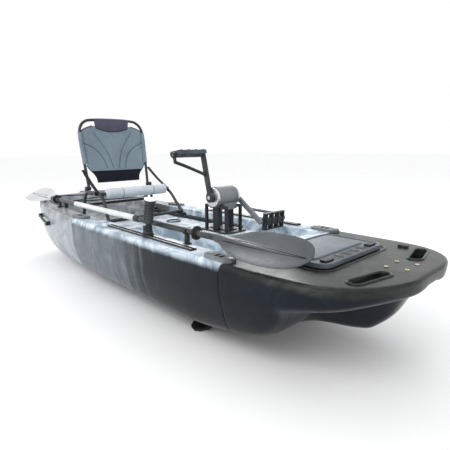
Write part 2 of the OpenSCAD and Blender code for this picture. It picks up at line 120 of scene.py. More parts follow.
def ramp(nt, fac, stops, mode="LINEAR"):
    n = node(nt, "ShaderNodeValToRGB")
    n.color_ramp.interpolation = mode
    e = n.color_ramp.elements
    while len(e) < len(stops):
        e.new(0.5)
    for i, (p, c) in enumerate(stops):
        e[i].position = p
        e[i].color = (*(c if len(c) == 3 else (c[0],) * 3), 1)
    nt.links.new(fac, n.inputs[0])
    return n.outputs[0]

def mixc(nt, fac, a, b, blend="MIX"):
    n = node(nt, "ShaderNodeMix", data_type="RGBA", blend_type=blend)
    put(nt, n.inputs["Factor"], fac)
    put(nt, n.inputs["A"], a)
    put(nt, n.inputs["B"], b)
    return n.outputs["Result"]

def rng_map(nt, v, a, b, c, d, smooth=False):
    n = node(nt, "ShaderNodeMapRange")
    if smooth:
        n.interpolation_type = "SMOOTHSTEP"
    for i, x in enumerate((v, a, b, c, d)):
        put(nt, n.inputs[i], x)
    return n.outputs[0]

def bumped(nt, b, height, strength, dist, bevel=0.0):
    bp = node(nt, "ShaderNodeBump")
    bp.inputs["Strength"].default_value = strength
    bp.inputs["Distance"].default_value = dist
    nt.links.new(height, bp.inputs["Height"])
    if bevel:
        bv = node(nt, "ShaderNodeBevel", samples=4)
        bv.inputs["Radius"].default_value = bevel
        nt.links.new(bv.outputs[0], bp.inputs["Normal"])
    nt.links.new(bp.outputs[0], b.inputs["Normal"])

def plastic(name, col, col2=None, rough=0.42, spec=0.4, grain=900, bump=0.15, bevel=0.0012, blotch=9, metal=0.0, wear=0.35):
    m, nt, b = new_mat(name)
    v = coord(nt)
    col2 = col2 or tuple(min(1, c * 1.45 + 0.01) for c in col)
    f = noise(nt, v, blotch, 4, 0.6)
    c = ramp(nt, f, [(0.35, col), (0.72, col2)])
    # fine scuffs
    sc = noise(nt, coord(nt, (1, 1, 3.5), (0.3, 0.2, 0.5)), 60, 6, 0.7)
    scf = rng_map(nt, sc, 0.60, 0.78, 0.0, wear)
    c = mixc(nt, scf, c, tuple(min(1, x * 1.5 + 0.03) for x in col2))
    put(nt, b.inputs["Base Color"], c)
    b.inputs["Metallic"].default_value = metal
    b.inputs["Specular IOR Level"].default_value = spec
    r = rng_map(nt, noise(nt, v, 35, 5, 0.6), 0.3, 0.75, rough * 0.85, min(1, rough * 1.25))
    put(nt, b.inputs["Roughness"], r)
    bumped(nt, b, noise(nt, v, grain, 2, 0.5), bump, 0.0004, bevel)
    return m

def fabric(name, col, col2, scale=520, fleck=(0.6, 0.62, 0.65), fleck_amt=0.25, rough=0.85, sheen=0.25, bump=0.5, plane="YZ"):
    m, nt, b = new_mat(name)
    v = coord(nt)
    sep = node(nt, "ShaderNodeSeparateXYZ")
    nt.links.new(v, sep.inputs[0])
    u_, w_ = {"YZ": (1, 2), "XY": (0, 1), "XZ": (0, 2)}[plane]
    su = math_(nt, "SINE", math_(nt, "MULTIPLY", sep.outputs[u_], scale * 2 * math.pi))
    sw = math_(nt, "SINE", math_(nt, "MULTIPLY", sep.outputs[w_], scale * 2 * math.pi))
    weave = math_(nt, "MULTIPLY_ADD", math_(nt, "MULTIPLY", su, sw), 0.5, 0.5)
    heather = noise(nt, coord(nt, (1, 1, 0.35) if plane == "YZ" else (1, 0.35, 1)), 420, 3, 0.7)
    big = noise(nt, v, 8, 3, 0.5)
    c = mixc(nt, rng_map(nt, heather, 0.35, 0.65, 0, 1), col, col2)
    c = mixc(nt, rng_map(nt, heather, 0.62, 0.72, 0, fleck_amt), c, fleck)
    c = mixc(nt, rng_map(nt, weave, 0, 0.5, 0.35, 0), c, tuple(x * 0.35 for x in col))
    c = mixc(nt, rng_map(nt, big, 0.35, 0.7, 0.0, 0.28), c, tuple(x * 0.6 for x in col))
    put(nt, b.inputs["Base Color"], c)
    b.inputs["Roughness"].default_value = rough
    b.inputs["Specular IOR Level"].default_value = 0.2
    b.inputs["Sheen Weight"].default_value = sheen
    b.inputs["Sheen Roughness"].default_value = 0.5
    h = math_(nt, "ADD", weave, math_(nt, "MULTIPLY", heather, 0.6))
    bumped(nt, b, h, bump, 0.0006)
    return m

def metal(name, col, rough=0.28, aniso=False, scale=(1, 400, 1)):
    m, nt, b = new_mat(name)
    f = noise(nt, coord(nt, scale), 3, 4, 0.6)
    put(nt, b.inputs["Base Color"], mixc(nt, rng_map(nt, f, 0.3, 0.7, 0, 1), col, tuple(x * 0.82 for x in col)))
    b.inputs["Metallic"].default_value = 0.9
    put(nt, b.inputs["Roughness"], rng_map(nt, noise(nt, coord(nt), 45, 4, 0.6), 0.3, 0.7, rough * 0.7, rough * 1.5))
    bumped(nt, b, f, 0.12, 0.0003, 0.0008)
    return m

def hull_mat():
    m, nt, b = new_mat("hull_marbled")
    tc = node(nt, "ShaderNodeTexCoord")
    sep = node(nt, "ShaderNodeSeparateXYZ")
    nt.links.new(tc.outputs["Object"], sep.inputs[0])
    X, Y, Z = sep.outputs
    v1 = coord(nt, (1.0, 1.0, 0.35))
    big = noise(nt, v1, 2.6, 5, 0.6, 0.6)
    fine = noise(nt, coord(nt, (1, 1, 0.5)), 11, 6, 0.65, 1.2)
    streak = noise(nt, coord(nt, (9, 3, 0.8)), 2.2, 5, 0.6, 0.4)
    swirl = noise(nt, coord(nt, (1, 1, 1)), 5.5, 6, 0.62, 2.2)
    # distance along the boat, disturbed so that colour fields meet raggedly
    xs = math_(nt, "ADD", X, math_(nt, "MULTIPLY", math_(nt, "SUBTRACT", big, 0.5), 0.25))
    xs = math_(nt, "ADD", xs, math_(nt, "MULTIPLY", math_(nt, "SUBTRACT", streak, 0.5), 0.75))
    # module factors with a hard step at the seams
    stern = math_(nt, "LESS_THAN", X, -0.42)
    bow = math_(nt, "GREATER_THAN", X, 0.97)
    # side colours
    s_stern = ramp(nt, rng_map(nt, swirl, 0.3, 0.7, 0, 1), [(0.0, (0.20, 0.225, 0.25)), (0.5, (0.28, 0.31, 0.34)), (1.0, (0.40, 0.43, 0.46))])
    s_mid_l = ramp(nt, rng_map(nt, fine, 0.3, 0.72, 0, 1), [(0.0, (0.070, 0.082, 0.10)), (0.55, (0.115, 0.135, 0.16)), (1.0, (0.20, 0.225, 0.25))])
    s_dark = ramp(nt, rng_map(nt, swirl, 0.3, 0.75, 0, 1), [(0.0, (0.002, 0.004, 0.007)), (0.7, (0.004, 0.008, 0.014)), (1.0, (0.010, 0.016, 0.024))])
    blend = rng_map(nt, xs, 0.12, 0.52, 0, 1, True)
    s_mid = mixc(nt, blend, s_mid_l, s_dark)
    # the lower hull runs from mid grey to near black further aft
    lowc = ramp(nt, rng_map(nt, fine, 0.3, 0.7, 0, 1), [(0.0, (0.007, 0.007, 0.008)), (1.0, (0.014, 0.014, 0.016))])
    lowm = math_(nt, "MULTIPLY", rng_map(nt, math_(nt, "ADD", Z, math_(nt, "MULTIPLY", math_(nt, "SUBTRACT", big, 0.5), 0.12)), 0.05, 0.16, 1, 0, True), rng_map(nt, xs, 0.05, 0.6, 0, 1, True))
    s_mid = mixc(nt, lowm, s_mid, lowc)
    s_bow = mixc(nt, rng_map(nt, Z, 0.04, 0.2, 1, 0, True), s_dark, lowc)
    side = mixc(nt, bow, mixc(nt, stern, s_mid, s_stern), s_bow)
    # deck colours
    d_stern = ramp(nt, rng_map(nt, swirl, 0.28, 0.72, 0, 1), [(0.0, (0.13, 0.14, 0.15)), (0.5, (0.30, 0.32, 0.34)), (1.0, (0.52, 0.55, 0.57))])
    d_mid = ramp(nt, rng_map(nt, swirl, 0.30, 0.70, 0, 1), [(0.0, (0.17, 0.21, 0.26)), (0.36, (0.38, 0.46, 0.54)), (0.7, (0.66, 0.75, 0.81)), (1.0, (0.80, 0.86, 0.90))])
    d_bow = ramp(nt, rng_map(nt, swirl, 0.30, 0.75, 0, 1), [(0.0, (0.010, 0.012, 0.012)), (0.6, (0.026, 0.029, 0.027)), (1.0, (0.065, 0.070, 0.064))])
    deck = mixc(nt, bow, mixc(nt, stern, d_mid, d_stern), d_bow)
    ay = math_(nt, "ABSOLUTE", Y)
    m1 = rng_map(nt, math_(nt, "ADD", Z, math_(nt, "MULTIPLY", math_(nt, "SUBTRACT", fine, 0.5), 0.02)), 0.322, 0.352, 0, 1, True)
    m2 = math_(nt, "MULTIPLY", math_(nt, "LESS_THAN", ay, 0.34), math_(nt, "GREATER_THAN", Z, 0.135))
    m2 = math_(nt, "MULTIPLY", m2, math_(nt, "MULTIPLY", math_(nt, "GREATER_THAN", X, -1.42), math_(nt, "LESS_THAN", X, 0.95)))
    mask = math_(nt, "MAXIMUM", m1, m2)
    col = mixc(nt, mask, side, deck)
    # light handling scuffs
    sc = noise(nt, coord(nt, (2.5, 1, 14), (0.1, 0.1, 0.2)), 9, 8, 0.75)
    col = mixc(nt, rng_map(nt, sc, 0.64, 0.80, 0, 0.07), col, (0.20, 0.21, 0.22))
    put(nt, b.inputs["Base Color"], col)
    b.inputs["Specular IOR Level"].default_value = 0.17
    r = rng_map(nt, noise(nt, coord(nt), 14, 6, 0.65), 0.3, 0.75, 0.18, 0.32)
    put(nt, b.inputs["Roughness"], r)
    h = math_(nt, "ADD", math_(nt, "MULTIPLY", noise(nt, coord(nt), 420, 2, 0.5), 0.35), math_(nt, "MULTIPLY", noise(nt, coord(nt), 7, 2, 0.5), 3.0))
    bumped(nt, b, h, 0.22, 0.0009)
    return m

M = dict(
    hull=hull_mat(),
    black=plastic("black_nylon", (0.012, 0.013, 0.015), (0.030, 0.032, 0.036), 0.38, 0.45),
    black_tex=plastic("black_textured", (0.020, 0.024, 0.028), (0.045, 0.050, 0.056), 0.55, 0.35, grain=260, bump=0.6),
    # painted shade: near-black matte colour for patches that stand for the shade in recesses and grooves
    pit=plastic("painted_recess_shade", (0.003, 0.003, 0.004), (0.006, 0.006, 0.007), 0.7, 0.1),
    hatch=plastic("hatch_grey_plastic", (0.100, 0.120, 0.142), (0.175, 0.205, 0.235), 0.36, 0.4, blotch=5),
    hatch_dark=plastic("hatch_band_plastic", (0.016, 0.019, 0.023), (0.035, 0.040, 0.047), 0.4, 0.4, blotch=6),
    latch=plastic("latch_grey_nylon", (0.13, 0.145, 0.155), (0.21, 0.225, 0.235), 0.45, 0.4),
    # the drive drum's own light grey; also used on crank_p as a painted reflection
    drum=plastic("drive_grey_and_crank_reflection", (0.15, 0.165, 0.18), (0.22, 0.235, 0.25), 0.42, 0.45),
    pedal=plastic("pedal_grey", (0.045, 0.055, 0.068), (0.085, 0.10, 0.12), 0.5, 0.4, grain=420, bump=0.4),
    steel=metal("stainless", (0.62, 0.62, 0.63), 0.25),
    silver=metal("machined_aluminium", (0.86, 0.87, 0.88), 0.32, scale=(300, 4, 300)),
    brass=metal("brass_insert", (0.86, 0.80, 0.62), 0.25),
    rubber=plastic("fin_rubber", (0.012, 0.012, 0.013), (0.03, 0.03, 0.03), 0.6, 0.3, grain=300, bump=0.35),
    tube=plastic("black_anodised_tube", (0.010, 0.011, 0.013), (0.022, 0.023, 0.026), 0.27, 0.55, bevel=0.0),
    seat=fabric("seat_heather_mesh", (0.135, 0.185, 0.225), (0.27, 0.345, 0.40), 260, (0.5, 0.56, 0.6), 0.35),
    seat_pan=fabric("seat_pan_mesh", (0.08, 0.10, 0.12), (0.16, 0.19, 0.22), 260, plane="XY"),
    head=fabric("head_cover_cloth", (0.052, 0.056, 0.088), (0.115, 0.115, 0.16), 300, (0.25, 0.24, 0.3), 0.3),
    band=fabric("lower_band_mesh", (0.003, 0.005, 0.013), (0.009, 0.012, 0.026), 240, (0.04, 0.05, 0.08), 0.15, sheen=0.1),
    roll=fabric("roll_cloth", (0.50, 0.56, 0.62), (0.72, 0.77, 0.82), 300, (0.9, 0.92, 0.94), 0.3),
    web=fabric("black_webbing", (0.006, 0.006, 0.008), (0.016, 0.016, 0.019), 420, (0.05, 0.05, 0.06), 0.15, sheen=0.1, bump=0.8, plane="XZ"),
    shaft=plastic("shaft_composite", (0.020, 0.021, 0.023), (0.05, 0.052, 0.055), 0.3, 0.5, bevel=0.0),
    grip=plastic("grip_sleeve", (0.62, 0.65, 0.65), (0.78, 0.80, 0.79), 0.4, 0.4, bevel=0.0),
    # painted shade: the bow blade is coloured a dark grey, darker than its own light grey, to stand for the shade on
    # its face
    blade_f=plastic("blade_grey", (0.038, 0.045, 0.054), (0.085, 0.096, 0.108), 0.24, 0.5, blotch=4, bevel=0.0),
    blade_r=plastic("blade_pale", (0.46, 0.49, 0.50), (0.62, 0.64, 0.65), 0.3, 0.5, blotch=4, bevel=0.0),
)
NODE_MAT = dict(bow_latches="latch", stern_latches="latch", latch_bolts="steel", hatch_rim="black", hatch_lid="hatch", hatch_pin="steel", hatch_latch_s="black", hatch_latch_p="black",
    # painted reflection: crank_p takes the drive's light grey to stand for the sky reflected on its top face; the arm
    # itself is black like crank_s
    deck_inserts="brass", gear_rails="black", rail_screws="steel", drive_plate="black", drive_frame="black", drive_drum="drum", drive_axle="steel", crank_s="black", crank_p="drum",
    crank_disc_s="silver", crank_disc_p="silver", pedal_pin_s="steel", pedal_pin_p="steel", pedal_s="pedal", pedal_p="black", drive_mast="black", fin_axle="steel", fin_front="rubber", fin_rear="rubber",
    seat_frame="tube", seat_feet="black", seat_rails="black", seat_bolts="steel", seat_back_frame="tube", seat_band="band", seat_back_panel="seat", seat_head_cover="head", seat_pan="seat_pan", seat_roll="roll",
    seat_straps="web", rod_carriage="black", rod_knob="black_tex", rod_tube="black_tex", rod_rim="silver", paddle_shaft="shaft", paddle_grip="grip", paddle_ferrule="black", paddle_rings="rubber",
    blade_front="blade_f", blade_rear="blade_r", paddle_clips="black", handle_s="black", handle_p="black", handle_eyes="black", bungee="web", pad_eyes="black", drain_plug="black", cup_ring="black", scupper_rings="black",
    hull_bow="hull", hull_mid="hull", hull_stern="hull")
for n, o in N.items():
    o.data.materials.clear()
    o.data.materials.append(M[NODE_MAT[n]])

# ------------------------------------------------------------------ mesh helpers
def obj(name, verts, faces, mat, body, slot, replaces=(), angle=35, scale=MM):
    me = bpy.data.meshes.new(name)
    me.from_pydata([tuple(float(c) * scale for c in v) for v in verts], [], [tuple(int(i) for i in f) for f in faces])
    bm = bmesh.new(); bm.from_mesh(me)
    bmesh.ops.remove_doubles(bm, verts=bm.verts, dist=2e-5)
    bmesh.ops.dissolve_degenerate(bm, edges=bm.edges, dist=1e-6)
    bmesh.ops.recalc_face_normals(bm, faces=bm.faces)
    bm.to_mesh(me); bm.free()
    o = bpy.data.objects.new(name, me)
    bpy.context.scene.collection.objects.link(o)
    finish_obj(o, mat, body, replaces, angle)
    return o

def finish_obj(o, mat, body, replaces=(), angle=35):
    o.data.materials.clear()
    o.data.materials.append(M[mat])
    o.data.shade_smooth()
    o.data.set_sharp_from_angle(angle=math.radians(angle))
    if body:
        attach(o, body)
    if replaces:
        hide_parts(*replaces)

def fillet(pts, r, n=8):
    pts = [np.array(p, float) for p in pts]
    out = [pts[0]]
    for i in range(1, len(pts) - 1):
        a, p, b = pts[i - 1], pts[i], pts[i + 1]
        la, lb = np.linalg.norm(a - p), np.linalg.norm(b - p)
        k = min(r, la * 0.48, lb * 0.48)
        A, B = p + (a - p) / la * k, p + (b - p) / lb * k
        for j in range(n + 1):
            t = j / n
            out.append((1 - t) ** 2 * A + 2 * t * (1 - t) * p + t * t * B)
    out.append(pts[-1])
    return out

def catmull(pts, n=10):
    P = [np.array(p, float) for p in pts]
    P = [2 * P[0] - P[1]] + P + [2 * P[-1] - P[-2]]
    out = []
    for i in range(1, len(P) - 2):
        for j in range(n):
            t = j / n
            out.append(0.5 * ((2 * P[i]) + (-P[i - 1] + P[i + 1]) * t + (2 * P[i - 1] - 5 * P[i] + 4 * P[i + 1] - P[i + 2]) * t * t + (-P[i - 1] + 3 * P[i] - 3 * P[i + 1] + P[i + 2]) * t ** 3))
    out.append(P[-2])
    return out

def sweep(pts, rad, seg=16, closed=False, flat=None, caps=True):
    """Verts and faces of a tube along pts. rad is a number or a list; flat=(w, t) makes a ribbon of that section, with the wide side along Y."""
    P = [np.array(p, float) for p in pts]
    m = len(P)
    R = rad if hasattr(rad, "__len__") else [rad] * m
    T = []
    for i in range(m):
        a = P[(i - 1) % m] if closed or i > 0 else P[i]
        b = P[(i + 1) % m] if closed or i < m - 1 else P[i]
        d = b - a
        T.append(d / (np.linalg.norm(d) + 1e-12))
    up = np.array([0, 0, 1.0])
    if abs(T[0] @ up) > 0.9:
        up = np.array([1.0, 0, 0])
    n0 = np.cross(T[0], up); n0 /= np.linalg.norm(n0)
    vs, fs = [], []
    nrm = n0
    for i in range(m):
        nrm = nrm - T[i] * (nrm @ T[i]); nrm /= np.linalg.norm(nrm)
        bn = np.cross(T[i], nrm)
        if flat:
            y = np.array([0, 1.0, 0]); y = y - T[i] * (y @ T[i]); y /= np.linalg.norm(y)
            z = np.cross(T[i], y)
            w, t = flat[0] / 2, flat[1] / 2
            sec = [(-w, -t), (w, -t), (w, t), (-w, t)]
            vs += [P[i] + y * a + z * b for a, b in sec]
        else:
            vs += [P[i] + R[i] * (math.cos(2 * math.pi * k / seg) * nrm + math.sin(2 * math.pi * k / seg) * bn) for k in range(seg)]
    s = 4 if flat else seg
    for i in range(m if closed else m - 1):
        for k in range(s):
            a, b = i * s + k, i * s + (k + 1) % s
            c, d = ((i + 1) % m) * s + (k + 1) % s, ((i + 1) % m) * s + k
            fs.append((a, b, c, d))
    if caps and not closed:
        fs.append(tuple(range(s))[::-1]); fs.append(tuple((m - 1) * s + k for k in range(s)))
    return vs, fs

def join(*vf):
    V, F = [], []
    for v, f in vf:
        n = len(V)
        V += list(v)
        F += [tuple(i + n for i in q) for q in f]
    return V, F

def prism(outline, z0, z1, bevel=0.0, steps=3):
    """A slab with its top edge rounded over."""
    out = [np.array(p, float) for p in outline]
    n = len(out)
    c = sum(out) / n
    def inset(d):
        res = []
        for i in range(n):
            a, p, b = out[i - 1], out[i], out[(i + 1) % n]
            t1 = p - a; t2 = b - p
            t1 = t1 / (np.linalg.norm(t1) + 1e-9); t2 = t2 / (np.linalg.norm(t2) + 1e-9)
            nr = np.array([-(t1[1] + t2[1]), t1[0] + t2[0]]); l = np.linalg.norm(nr)
            nr = nr / l if l > 1e-6 else np.array([0, 0])
            res.append(p + nr * d)
        return res
    area = sum(out[i - 1][0] * out[i][1] - out[i][0] * out[i - 1][1] for i in range(n))
    sg = 1 if area > 0 else -1
    levels = [(0, z0), (0, z1 - bevel)] if bevel else [(0, z0), (0, z1)]
    if bevel:
        for k in range(1, steps + 1):
            th = k / steps * math.pi / 2
            levels.append((bevel * (1 - math.cos(th)), z1 - bevel + bevel * math.sin(th)))
    V, F = [], []
    for d, z in levels:
        V += [(p[0], p[1], z) for p in inset(sg * d)]
    for l in range(len(levels) - 1):
        for i in range(n):
            F.append((l * n + i, l * n + (i + 1) % n, (l + 1) * n + (i + 1) % n, (l + 1) * n + i))
    F.append(tuple(range(n))[::-1]); F.append(tuple((len(levels) - 1) * n + i for i in range(n)))
    return V, F

def rrect(x0, x1, y0, y1, r, n=6):
    P = []
    for cx, cy, a0 in ((x1 - r, y1 - r, 0), (x0 + r, y1 - r, 90), (x0 + r, y0 + r, 180), (x1 - r, y0 + r, 270)):
        for i in range(n + 1):
            a = math.radians(a0 + 90 * i / n)
            P.append((cx + r * math.cos(a), cy + r * math.sin(a)))
    return P

def lathe(profile, seg=48):
    V, F = [], []
    for r, z in profile:
        V += [(r * math.cos(2 * math.pi * k / seg), r * math.sin(2 * math.pi * k / seg), z) for k in range(seg)]
    for i in range(len(profile) - 1):
        for k in range(seg):
            F.append((i * seg + k, i * seg + (k + 1) % seg, (i + 1) * seg + (k + 1) % seg, (i + 1) * seg + k))
    F.append(tuple(range(seg))[::-1]); F.append(tuple((len(profile) - 1) * seg + k for k in range(seg)))
    return V, F

def xf(vf, mat):
    v, f = vf
    return [tuple(mat @ Vector(p)) for p in v], f

def cyl(c, axis, h, r, seg=32, bev=0.0):
    prof = [(r - bev, 0), (r, bev), (r, h - bev), (r - bev, h)] if bev else [(r, 0), (r, h)]
    q = Vector((0, 0, 1)).rotation_difference(Vector(axis)).to_matrix().to_4x4()
    return xf(lathe(prof, seg), Matrix.Translation(Vector(c)) @ q)

def boxm(x0, x1, y0, y1, z0, z1, bev=2.0):
    return prism(rrect(x0, x1, y0, y1, min(bev * 1.2, (x1 - x0) / 2.2, (y1 - y0) / 2.2), 3), z0, z1, bev)

def boolean(o, cutter_vf):
    me = bpy.data.meshes.new("cutter")
    v, f = cutter_vf
    me.from_pydata([tuple(c * MM for c in p) for p in v], [], f)
    bm = bmesh.new(); bm.from_mesh(me); bmesh.ops.recalc_face_normals(bm, faces=bm.faces); bm.to_mesh(me); bm.free()
    c = bpy.data.objects.new("cutter", me)
    bpy.context.scene.collection.objects.link(c)
    md = o.modifiers.new("cut", "BOOLEAN"); md.operation = "DIFFERENCE"; md.object = c; md.solver = "EXACT"
    dg = bpy.context.evaluated_depsgraph_get()
    new = bpy.data.meshes.new_from_object(o.evaluated_get(dg))
    o.modifiers.clear(); old = o.data; o.data = new
    bpy.data.meshes.remove(old); bpy.data.objects.remove(c); bpy.data.meshes.remove(me)

# ------------------------------------------------------------------ hull
def pchip(tab):
    x = np.array([p[0] for p in tab], float); y = np.array([p[1] for p in tab], float)
    h = np.diff(x); d = np.diff(y) / h
    m = np.zeros(len(x)); m[0], m[-1] = d[0], d[-1]
    for i in range(1, len(x) - 1):
        if d[i - 1] * d[i] > 0:
            w1, w2 = 2 * h[i] + h[i - 1], h[i] + 2 * h[i - 1]
            m[i] = (w1 + w2) / (w1 / d[i - 1] + w2 / d[i])
    def f(q):
        q = min(max(q, x[0]), x[-1])
        i = min(max(int(np.searchsorted(x, q)) - 1, 0), len(h) - 1)
        t = (q - x[i]) / h[i]
        return float((2 * t ** 3 - 3 * t * t + 1) * y[i] + (t ** 3 - 2 * t * t + t) * h[i] * m[i] + (3 * t * t - 2 * t ** 3) * y[i + 1] + (t ** 3 - t * t) * h[i] * m[i + 1])
    return f
def lin(tab):
    x = [p[0] for p in tab]; y = [p[1] for p in tab]
    return lambda q: float(np.interp(q, x, y))
fW = pchip([(-1600,180),(-1560,235),(-1450,300),(-1250,365),(-900,425),(-500,452),(0,460),(500,458),(900,447),(1150,435),(1350,412),(1440,380),(1500,335),(1550,270),(1585,190),(1600,130)])
fG = pchip([(-1600,405),(-1450,395),(-1000,373),(-500,361),(-420,360),(900,360),(1000,358),(1300,362),(1450,366),(1600,375)])
fK = pchip([(-1600,330),(-1570,240),(-1500,150),(-1400,90),(-1200,30),(-950,5),(-800,0),(700,0),(970,30),(1100,58),(1160,90),(1200,135),(1240,197),(1330,235),(1430,265),(1520,297),(1600,322)])
fT = pchip([(-1600,336),(-1570,250),(-1500,165),(-1400,110),(-1200,60),(-900,40),(0,30),(800,35),(1050,46),(1160,60),(1240,66),(1390,93),(1430,124),(1480,180),(1520,255),(1550,300),(1585,325),(1600,330)])
fZ = pchip([(-1600,360),(-1400,230),(-1000,190),(0,185),(600,200),(870,220),(1200,250),(1330,268),(1450,300),(1600,345)])
fF = lin([(-1430,385),(-1400,220),(-500,220),(-421,220),(-419,296),(-130,296),(-100,150),(850,150),(900,345),(930,359),(1000,358),(1300,362),(1450,366),(1600,375)])
fL = lin([(-1430,390),(-1400,300),(860,300),(900,352),(930,360),(1000,358),(1300,362),(1450,366),(1600,375)])
fS = lin([(-1430,386),(-1400,220),(-421,220),(-419,296),(-130,296),(-60,345),(300,350),(340,360),(930,360),(1000,358),(1300,362),(1450,366),(1600,375)])
ROUND = [0, 30, 40, 30, 24, 30, 34, 40, 26, 26, 20, 14, 14, 5, 4, 12, 8, 8, 8, 14, 14, 5, 8, 0]

def section(x, t, lo, hi):
    def sm(f):
        return sum(f(min(max(x + k, lo), hi)) for k in (-14, -9, -4, 0, 4, 9, 14)) / 7
    w = fW(x) - t; g = fG(x) - t; k = fK(x) + t; c = fT(x) + t
    lev = lambda v: g if v > g - 12 else v
    f = lev(max(sm(fF) - t, c + 6)); l = lev(max(sm(fL) - t, f)); s = max(sm(fS) - t, f)
    top = g if f == g else g - 3
    pw0 = min(115, fW(x) * 0.28); py = fW(x) - pw0 - 50 * min(1, fW(x) / 420); pw = pw0 - t
    cw0 = min(315, fW(x) - 75); cw = cw0 + t; h = g - k; e = min(1, cw0 / 315); c1 = 100 * e
    y6 = py + pw * 0.85; z6 = k + h * 0.06; z8 = min(k + h * 0.72, max(fZ(x), k + h * 0.3)); z10 = min(k + h * 0.9, g - 9); z9 = min(max(z8 + 6, k + h * 0.8), z10 - 2)
    kw = float(np.interp(x, [850, 1080, 1500, 1600], [0.6, 0.36, 0.36, 0.6]))
    P = [(0, c), ((py - pw) * kw, c + max(0, k - c) * 0.04), (py - pw, max(k, c - (c - k) * 0.15)), (py - pw * 0.7, k + max(0, c - k) * 0.35), (py - pw * 0.25, k + 1), (py + pw * 0.35, k), (y6, z6),
         (y6 + (w - 6 - y6) * 0.5, z6 + (z8 - z6) * 0.3), (w - 6, z8), (w - 2, z9), (w, z10), (w - 8, g - 6), (w - 24, g), (cw + 6 * e, g), (cw, top),
         (cw - 6 * e, max(l, top - 60)), (cw - 10 * e, l), (cw - 48 * e, l), (cw - 56 * e, min(f + 14, l)), (cw - 74 * e, f),
         (c1 + 6 - t, f), (c1 - 2 - t, min(f + 12, s)), (c1 - 6 - t, s), (0, s)]
    P = [np.array(p, float) for p in P]
    out = [P[0]]
    for i in range(1, len(P) - 1):
        a, p, b = P[i - 1], P[i], P[i + 1]
        la, lb = np.linalg.norm(a - p), np.linalg.norm(b - p)
        ka, kb = min(ROUND[i], la * 0.49), min(ROUND[i], lb * 0.49)
        A = p + (a - p) / la * ka if la > 1e-6 else p
        B = p + (b - p) / lb * kb if lb > 1e-6 else p
        for j in range(5):
            q = j / 4
            out.append((1 - q) ** 2 * A + 2 * q * (1 - q) * p + q * q * B)
    out.append(P[-1])
    return out

def hull_piece(x0, x1, r0, r1, step):
    st = []
    for th in (90, 60, 30):
        a = math.radians(th); st.append((x0 + r0 - r0 * math.sin(a), r0 * (1 - math.cos(a))))
    n = max(2, int((x1 - r1 - x0 - r0) / step))
    for i in range(n + 1):
        st.append((x0 + r0 + (x1 - r1 - x0 - r0) * i / n, 0))
    for th in (30, 60, 90):
        a = math.radians(th); st.append((x1 - r1 + r1 * math.sin(a), r1 * (1 - math.cos(a))))
    V, F = [], []
    for x, t in st:
        h = section(x, t, x0, x1)
        ring = [(x, p[0], p[1]) for p in h] + [(x, -p[0], p[1]) for p in h[-2:0:-1]]
        K = len(ring); V += ring
    for i in range(len(st) - 1):
        for k in range(K):
            F.append((i * K + k, i * K + (k + 1) % K, (i + 1) * K + (k + 1) % K, (i + 1) * K + k))
    # caps as one polygon over each end ring
    half = K // 2
    for base in (0, (len(st) - 1) * K):
        F.append(tuple(base + k for k in range(K)))
    return V, F

STEP = 10
bow = obj("bow_hull", *hull_piece(970.5, 1600, 3, 12, STEP), "hull", "hull", "hull_dark", ("hull_bow",))
mid = obj("mid_hull", *hull_piece(-419.5, 969.5, 3, 3, STEP), "hull", "hull", "hull_marble", ("hull_mid",))
stern = obj("stern_hull", *hull_piece(-1600, -420.5, 12, 3, STEP), "hull", "hull", "hull_grey", ("hull_stern",))

def slot_outline(dx, dy, r, side):
    P = rrect(-dx, dx, -dy, dy, r, 8)
    a = math.radians(12)
    Q = [(1468 + x * math.cos(a) - y * math.sin(a), 208 + x * math.sin(a) + y * math.cos(a)) for x, y in P]
    return Q if side > 0 else [(x, -y) for x, y in Q][::-1]
cut = join(prism(rrect(1040, 1290, -210, 210, 40, 8), 170, 460), prism(slot_outline(24, 92, 20, 1), 100, 460), prism(slot_outline(24, 92, 20, -1), 100, 460))
boolean(bow, cut)
finish_obj(bow, "hull", None)
cut = [prism(rrect(drive, drive + 140, -40, 40, 6), -60, 470) for drive in (460,)] + [cyl((x, y, -60), (0, 0, 1), 520, 12, 32) for x in (150, 790) for y in (-170, 170)]
boolean(mid, join(*cut))
finish_obj(mid, "hull", None)
boolean(stern, join(*[cyl((x, y, -60), (0, 0, 1), 560, 12, 32) for x in (-1150, -620) for y in (-170, 170)]))
finish_obj(stern, "hull", None)

def ring_on(outline, z, r, seg=10, zf=None):
    pts = [(x, y, (zf(x) if zf else z)) for x, y in outline]
    return sweep(pts, r, seg, closed=True)
# raised lips moulded round the grip slots and the hatch recess
lips = join(*[ring_on(slot_outline(28, 96, 24, s), 0, 6.5, 10, lambda x: fG(x) - 1.0) for s in (1, -1)])
obj("grip_slot_lips", *lips, "hull", "hull", "hull_dark", (), 60)
obj("hatch_recess_lip", *ring_on(rrect(1000, 1333, -256, 256, 62, 10), 0, 6, 10, lambda x: fG(x) - 1.5), "hull", "hull", "hull_dark", (), 60)

# ------------------------------------------------------------------ deck hardware
lid = join(prism(rrect(1050, 1236, -196, 196, 30, 8), 381.5, 384.5, 2.0),
           ring_on(rrect(1024, 1309, -231, 231, 47, 10), 379.5, 4.2, 10))
obj("hatch_lid_panel", *lid, "hatch", "hatch", "hatch_grey", (), 50)
band = [boxm(1252, 1302, y0, y1, 377.5, 379.6, 1.0) for y0, y1 in ((-136, -88), (-82, -34), (-28, 28), (34, 82), (88, 136))]
obj("hatch_lid_band", *join(*band), "hatch_dark", "hatch", "hatch_grey", (), 50)
scr = [cyl((x, y, 378), (0, 0, 1), 1.6, 4.5, 16, 0.5) for x in (1262, 1292) for y in (-128, -61, 61, 128)]
obj("hatch_lid_screws", *join(*scr), "steel", "hatch", "steel", (), 40)
# rubber seal inside the mouth
obj("hatch_seal", *ring_on(rrect(1034, 1296, -216, 216, 44, 10), 365.2, 2.2, 8), "rubber", "hull", "black_plastic", (), 60)
